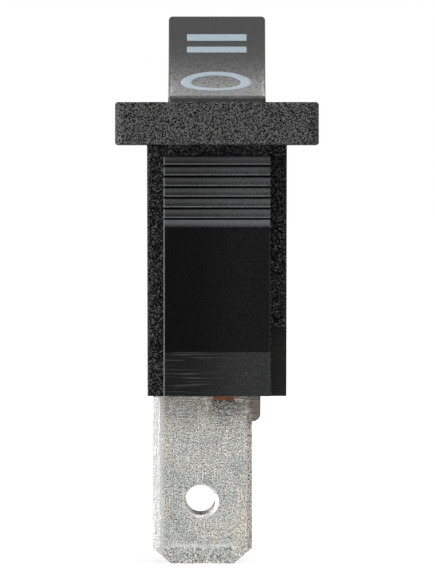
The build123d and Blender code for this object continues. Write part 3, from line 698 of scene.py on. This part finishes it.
def worn_metal(name, clean, stain, stained, grain_size):
    """Rolled or headed metal with fine rubs and clouds of stain, more of them the higher the
    value of stained."""
    made, tree, sockets = new_material(name, Metallic=1.0)
    point = place(tree)[3]
    cloud = noise(tree, point, STAIN_SIZE, 4.0, 0.6)
    speckle = noise(tree, point, grain_size, 3.0, 0.6)
    rubs = use(tree, RUBS, Stretch=METAL_STRETCH, Share=0.25)["Mask"]
    edges = use(tree, EDGES, Width=METAL_EDGE)["Mask"]
    colour = paint(tree, rise(tree, cloud, 0.62 - stained, 0.80 - stained), clean, stain)
    colour = shade(tree, colour, rise(tree, speckle, 0.3, 0.7, 0.82, 1.12))
    colour = paint(tree, product(tree, edges, 0.4), colour, clean)
    normal = bumped(tree, METAL_DEPTH, calc(tree, "MULTIPLY_ADD", rubs, 0.5, speckle))
    roughness = rise(tree, cloud, 0.3, 0.7, 0.26, 0.48)
    finish_shader(tree, sockets, Base_Color=colour, Roughness=roughness, Normal=normal)
    return made


bridge_finish = worn_metal(
    "bridge_copper", BRIDGE_COPPER, COPPER_STAIN, stained=0.12, grain_size=0.12 * MM
)
dress(nodes["contact_bridge"], bridge_finish)
contact_finish = worn_metal("contact_silver", SILVER, ARC_SOOT, stained=0.06, grain_size=0.07 * MM)
for name in ("moving_contact_near", "moving_contact_far", "fixed_contact_near", "fixed_contact_far"):
    dress(nodes[name], contact_finish)


# Rocker: a hollow key in black plastic from a finely etched mould, with a painted sheen on the top towards its
# pressed end.
# Its trunnions sit in the housing's sockets, and it carries the stem with the sprung plunger.

KEY_GRAIN, KEY_CLOUD, KEY_EDGE = 0.13 * MM, 2.0 * MM, 0.08 * MM
KEY_DEPTH, WORN_DEPTH = 0.003 * MM, 0.011 * MM
SHEEN_AND_WEAR_SPAN = (-3.5 * MM, 6.5 * MM)
PITTED_SPAN = (0.5 * MM, 6.0 * MM)
KEY_BLACK = (0.0075, 0.0073, 0.007, 1)
# Painted sheen on the upward faces towards the pressed end.
KEY_SHEEN = (0.06, 0.0585, 0.056, 1)
PIT_LENGTH = 0.35


def rocker_plastic():
    """Fine even matte, worn smoother and pitted from the middle of the top to its pressed end, where
    its upward faces carry a painted sheen.
    """
    made, tree, sockets = new_material("rocker_plastic", Specular_IOR_Level=0.43)
    _, y, _, point = place(tree)
    cloud = noise(tree, point, KEY_CLOUD, 4.0)
    upward = node(tree, "SeparateXYZ", node(tree, "TexCoord").outputs["Normal"]).outputs[2]
    # Upward faces towards the pressed end: worn smoother, and painted paler there as a painted sheen.
    worn = product(tree, rise(tree, y, *SHEEN_AND_WEAR_SPAN, 1.0, 0.0), rise(tree, upward, 0.3, 0.7, 0.3, 1.0))
    drawn = joined(tree, "MULTIPLY", point, (1, PIT_LENGTH, 1))
    spots = noise(tree, drawn, KEY_GRAIN, 2.0, 0.6)
    edges = use(tree, EDGES, Width=KEY_EDGE)["Mask"]
    pits = product(tree, rise(tree, spots, 0.38, 0.52, 1.0, 0.0), rise(tree, y, *PITTED_SPAN, 1.0, 0.05))
    colour = shade(tree, KEY_BLACK, rise(tree, cloud, 0.3, 0.7, 0.85, 1.15))
    # Painted sheen, mottled by the grain.
    colour = paint(tree, product(tree, worn, rise(tree, spots, 0.3, 0.7, 0.25, 1.0)), colour, KEY_SHEEN)
    colour = paint(tree, product(tree, edges, 0.12), colour, WEAR_AND_HIGHLIGHT_GREY)
    normal = bumped(tree, calc(tree, "MULTIPLY_ADD", worn, WORN_DEPTH, KEY_DEPTH), spots)
    roughness = calc(tree, "ADD", rise(tree, worn, 0.0, 1.0, 0.5, 0.36), product(tree, pits, 0.2))
    finish_shader(tree, sockets, Base_Color=colour, Roughness=roughness, Normal=normal)
    return made


dress(nodes["rocker"], rocker_plastic())


# Signs: I, O and II, pad-printed in pale blue ink on the hollow top of the key. The ink is a
# film about 0.02 mm thick, laid on in one pass and a little uneven at its rims.

INK_FILM, INK_SEAT, INK_DEPTH = 0.02 * MM, 0.012 * MM, 0.004 * MM
INK_SPECK, INK_CLOUD = 0.09 * MM, 0.6 * MM
INK_BLUE = (0.33, 0.40, 0.455, 1)
TOP_RADIUS = 20.8 * MM
TOP_HEIGHT = 2.85 * MM
BAR_HALF_WIDTH = 1.922 * MM
BAR_HALF_HEIGHT = 0.374 * MM
I_PLACE = -5.6 * MM
II_PLACES = (4.895 * MM, 6.315 * MM)
O_SIDE, O_PLACE = -0.05 * MM, -0.29 * MM
O_HALF_WIDTH = 2.268 * MM
O_HALF_HEIGHT = 2.074 * MM
O_STROKE = 0.695 * MM
FILM_STEPS, FILM_POWER = 9, 8
BAR_STEPS, BAR_POWER = 96, 0.06
RING_STEPS = 128
INK_WELD = 0.0002 * MM

joints = {joint["name"]: joint for joint in frame["joints"]}
pivot = np.array(joints["rocker_tilt"]["pos_m"])
key_tilt = radians(sum(joints["rocker_tilt"]["range_deg"]) / 2)


def in_key(points):
    """Points drawn on the upright key, pivot at the origin, turned with the key into its place."""
    x, y, z = np.moveaxis(np.asarray(points), -1, 0)
    c, s = cos(key_tilt), sin(key_tilt)
    return np.stack([x, y * c - z * s, y * s + z * c], -1) + pivot


def on_key_top(across, along, lift):
    """Points on the hollow top: along is measured round the arc from its middle towards +Y, lift
    goes in from the surface towards the arc's centre, and the whole is turned with the key."""
    angle = along / TOP_RADIUS
    reach = TOP_RADIUS - lift
    y, z = reach * np.sin(angle), TOP_HEIGHT + TOP_RADIUS - reach * np.cos(angle)
    return in_key(np.stack([across, y, z], -1))


def grid_faces(rows, columns, first=0, wrap=False):
    """Quads of a grid of points, row by row. A wrapped grid joins its last row to its first."""
    i, j = np.meshgrid(np.arange(rows if wrap else rows - 1), np.arange(columns - 1), indexing="ij")
    near, far = i * columns, (i + 1) % rows * columns
    quads = np.stack([near + j, near + j + 1, far + j + 1, far + j], -1)
    return (quads.reshape(-1, 4) + first).tolist()


def bar_outline(place):
    """Rim of a bar with small round corners: a superellipse, which is a circle by angle whose
    sine and cosine are both raised to a low power. They are rounded so that its halves match."""
    turn = np.linspace(0, 2 * pi, BAR_STEPS, endpoint=False)
    circle = np.round((np.cos(turn), np.sin(turn)), 9)
    across, along = np.sign(circle) * np.abs(circle) ** BAR_POWER
    return across * BAR_HALF_WIDTH, place + along * BAR_HALF_HEIGHT


def film(outer, inner, solid):
    """Closed film of ink between an outer and an inner rim, each a row of (across, along). Round
    the section it goes from the outer foot over the top to the inner rim, and underneath back. It
    falls off at its rims by a high power; a solid film has its middle line for an inner rim."""
    share = np.linspace(0, 1, FILM_STEPS)
    lift = INK_FILM * np.sqrt(1 - ((1 if solid else 2) * share - 1) ** FILM_POWER)
    spread = [outer[k][:, None] * (1 - share) + inner[k][:, None] * share for k in (0, 1)]
    top = on_key_top(*spread, lift)
    foot = on_key_top(*spread, -INK_SEAT)[:, ::-1]
    return np.concatenate([top, foot, top[:, :1]], 1)


def ink():
    """Flat pale blue with a few pinholes and a slight unevenness."""
    made, tree, sockets = new_material("legend_ink", Specular_IOR_Level=0.3)
    point = place(tree)[3]
    specks = noise(tree, point, INK_SPECK, 3.0, 0.7)
    cloud = noise(tree, point, INK_CLOUD, 2.0)
    colour = shade(tree, INK_BLUE, rise(tree, specks, 0.25, 0.75, 0.88, 1.1))
    colour = paint(tree, rise(tree, specks, 0.25, 0.34, 0.35, 0.0), colour, KEY_BLACK)
    normal = bumped(tree, INK_DEPTH, calc(tree, "ADD", specks, cloud))
    roughness = rise(tree, cloud, 0.3, 0.7, 0.45, 0.6)
    finish_shader(tree, sockets, Base_Color=colour, Roughness=roughness, Normal=normal)
    return made


ink_finish = ink()


def sign(name, rims, solid=True):
    """Printed sign made of films, one to each pair of rims, riding on the key. A solid film has
    no wall at its middle line."""
    points, faces = [], []
    for outer, inner in rims:
        section = film(outer, inner, solid)
        rows, columns = section.shape[:2]
        quads = grid_faces(rows, columns, len(points), wrap=True)
        if solid:
            quads = [quad for k, quad in enumerate(quads) if k % (columns - 1) != FILM_STEPS - 1]
        faces += [quad[::-1] for quad in quads]
        points += section.reshape(-1, 3).tolist()
    made = mesh_piece(name, points, faces)
    made.modifiers.new("weld", "WELD").merge_threshold = INK_WELD
    dress(made, ink_finish)
    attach(made, "key")


def bar_rims(place):
    """Outer rim of a bar, and its middle line as the inner one."""
    outer = bar_outline(place)
    spine = np.clip(outer[0], BAR_HALF_HEIGHT - BAR_HALF_WIDTH, BAR_HALF_WIDTH - BAR_HALF_HEIGHT)
    return outer, (spine, np.full_like(spine, place))


def ring_rims():
    """Outer and inner ellipses of the O."""
    turn = np.linspace(0, 2 * pi, RING_STEPS, endpoint=False)
    return [
        (O_SIDE + (O_HALF_WIDTH - inset) * np.cos(turn), O_PLACE + (O_HALF_HEIGHT - inset) * np.sin(turn))
        for inset in (0, O_STROKE)
    ]


sign("sign_one", [bar_rims(I_PLACE)])
sign("sign_off", [ring_rims()], solid=False)
sign("sign_two", [bar_rims(place) for place in II_PLACES])


# Plunger and spring: an acetal pin with a round tip slides in the stem of the key, pressed
# down by a coil of steel wire that stands in its cup and against the blind end of the bore.

PIN_WHITE = (0.62, 0.60, 0.54, 1)
PIN_CLOUD, PIN_DEPTH = 1.0 * MM, 0.005 * MM
TURNING_STRETCH = (600, 600, 7000)
SPRING_STEEL = (0.42, 0.41, 0.40, 1)
WIRE_RADIUS = 0.13 * MM
COIL_RADIUS = 0.56 * MM
COIL_FOOT, COIL_HEAD = 7.16 * MM, 0.99 * MM
COIL_TURNS, END_TURNS = 4.0, 1.0
COIL_STEPS, WIRE_STEPS = 360, 12


def pin_plastic():
    """Ivory acetal, faintly cloudy, with turning marks and a rubbed tip."""
    made, tree, sockets = new_material("pin_acetal", Specular_IOR_Level=0.4)
    cloud = noise(tree, place(tree)[3], PIN_CLOUD, 3.0)
    rubs = use(tree, RUBS, Stretch=TURNING_STRETCH, Share=0.22)["Mask"]
    colour = shade(tree, PIN_WHITE, rise(tree, cloud, 0.3, 0.7, 0.88, 1.06))
    colour = shade(tree, colour, calc(tree, "MULTIPLY_ADD", rubs, -0.15, 1.0))
    normal = bumped(tree, PIN_DEPTH, calc(tree, "ADD", rubs, cloud))
    roughness = rise(tree, cloud, 0.3, 0.7, 0.28, 0.42)
    finish_shader(tree, sockets, Base_Color=colour, Roughness=roughness, Normal=normal)
    return made


def coil_line(share):
    """Middle line of the wire: a helix whose first and last turn lie flat, one wire to a turn, and
    whose working turns between them share the rest of the height."""
    turns = COIL_TURNS + 2 * END_TURNS
    flat = 2 * WIRE_RADIUS * END_TURNS
    low, high = -COIL_FOOT, -COIL_HEAD
    marks = np.array([0.0, END_TURNS, turns - END_TURNS, turns])
    z = np.interp(share * turns, marks, [low, low + flat, high - flat, high])
    angle = 2 * pi * share * turns
    return np.stack([COIL_RADIUS * np.cos(angle), COIL_RADIUS * np.sin(angle), z], -1)


def wire_coil():
    """Round wire swept along the helix: a ring of points across the line at each step, with a
    point at each end where the wire is cut off."""
    line = coil_line(np.linspace(0, 1, COIL_STEPS))
    ahead = np.gradient(line, axis=0)
    ahead /= np.linalg.norm(ahead, axis=1)[:, None]
    outward = line * (1, 1, 0) / COIL_RADIUS
    upward = np.cross(ahead, outward)
    turn = np.linspace(0, 2 * pi, WIRE_STEPS, endpoint=False)
    circle = np.cos(turn)[:, None, None] * outward + np.sin(turn)[:, None, None] * upward
    points = np.concatenate([(line + WIRE_RADIUS * circle).reshape(-1, 3), line[:1], line[-1:]])
    nose, tail = len(points) - 2, len(points) - 1
    first = np.arange(WIRE_STEPS) * COIL_STEPS
    last = first + COIL_STEPS - 1
    nose_cap = np.stack([np.full_like(first, nose), first, np.roll(first, -1)], -1)
    tail_cap = np.stack([np.full_like(last, tail), np.roll(last, -1), last], -1)
    faces = grid_faces(WIRE_STEPS, COIL_STEPS, wrap=True) + nose_cap.tolist() + tail_cap.tolist()
    return mesh_piece("coil_spring", in_key(points).tolist(), [face[::-1] for face in faces])


dress(nodes["plunger"], pin_plastic())
coil = wire_coil()
dress(coil, worn_metal("spring_wire", SPRING_STEEL, COPPER_STAIN, stained=-0.05, grain_size=0.08 * MM))
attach(coil, "key")
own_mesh(coil)
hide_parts("plunger_spring")


# Stage: a sheet of white paper under the tips of the terminals, three soft square lamps, and
# the camera, which looks almost level at the near end from far off.

FLOOR_SIZE = 20.0
FLOOR_PALE, WHITE = (0.9, 0.9, 0.9, 1), (1, 1, 1, 1)
SHADOW_REACH = 0.2
NEAR_LIFT, FAR_LIFT = 0.5, 0.82
CAMERA_PLACE = (0.035 * MM, -1250.0 * MM, -2.0 * MM)
CAMERA_AIM = (0.035 * MM, -9.0 * MM, -9.22 * MM)
CAMERA_LENS, CAMERA_CLIP = 1213.0, (0.01, 100.0)
WORLD_FILL = 0.22

# Place, size of the square in metres and power in watts of each lamp.
LAMPS = {
    "side_lamp": ((-0.76, -0.32, 0.10), 0.36, 9.0),
    "top_lamp": ((0.12, -0.28, 0.75), 0.60, 4.0),
    "back_lamp": ((0.05, 0.80, 0.42), 0.45, 1.2),
}

half = FLOOR_SIZE / 2
floor_level = min(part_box(name)[0].z for name in ("terminal_near", "terminal_common", "terminal_far"))
floor = mesh_piece(
    "floor",
    [(x, y, floor_level) for x, y in ((-half, -half), (half, -half), (half, half), (-half, half))],
    [(0, 1, 2, 3)],
    smooth=False,
)


def seen_directly(tree):
    """1 for what the camera sees, straight or in metal and glass."""
    path = node(tree, "LightPath").outputs
    seen = calc(tree, "MAXIMUM", path["Is Camera Ray"], path["Is Glossy Ray"])
    return calc(tree, "MAXIMUM", seen, path["Is Transmission Ray"])


def floor_paper():
    """White paper that keeps a soft shadow: its white rises away from the switch."""
    made, tree, sockets = new_material("floor_paper", Specular_IOR_Level=0.0, Roughness=0.9)
    sockets["Base Color"].default_value = FLOOR_PALE
    sockets["Emission Color"].default_value = WHITE
    from_switch = joined(tree, "LENGTH", place(tree)[3], output="Value")
    lift = rise(tree, from_switch, SHADOW_REACH, 4 * SHADOW_REACH, NEAR_LIFT, FAR_LIFT)
    tree.links.new(product(tree, seen_directly(tree), lift), sockets["Emission Strength"])
    return made


dress(floor, floor_paper())

world = bpy.data.worlds.new("studio")
bpy.context.scene.world = world
world.use_nodes = True
world_tree = world.node_tree
world_strength = rise(world_tree, seen_directly(world_tree), 0.0, 1.0, WORLD_FILL, 1.0)
world_tree.links.new(world_strength, world_tree.nodes["Background"].inputs["Strength"])
world_tree.nodes["Background"].inputs["Color"].default_value = WHITE

middle = (cad_box[0] + cad_box[1]) / 2
for name, (spot, size, power) in LAMPS.items():
    light = bpy.data.lights.new(name, "AREA")
    light.shape, light.size, light.energy = "SQUARE", size, power
    lamp = bpy.data.objects.new(name, light)
    lamp.location = spot
    lamp.rotation_euler = (middle - Vector(spot)).to_track_quat("-Z", "Y").to_euler()
    bpy.context.scene.collection.objects.link(lamp)

camera = bpy.data.objects.new("camera", bpy.data.cameras.new("camera"))
camera.data.lens = CAMERA_LENS
camera.data.clip_start, camera.data.clip_end = CAMERA_CLIP
camera.location = CAMERA_PLACE
camera.rotation_euler = (Vector(CAMERA_AIM) - Vector(CAMERA_PLACE)).to_track_quat("-Z", "Y").to_euler()
bpy.context.scene.collection.objects.link(camera)
bpy.context.scene.camera = camera
bpy.context.scene.view_settings.view_transform = "Standard"
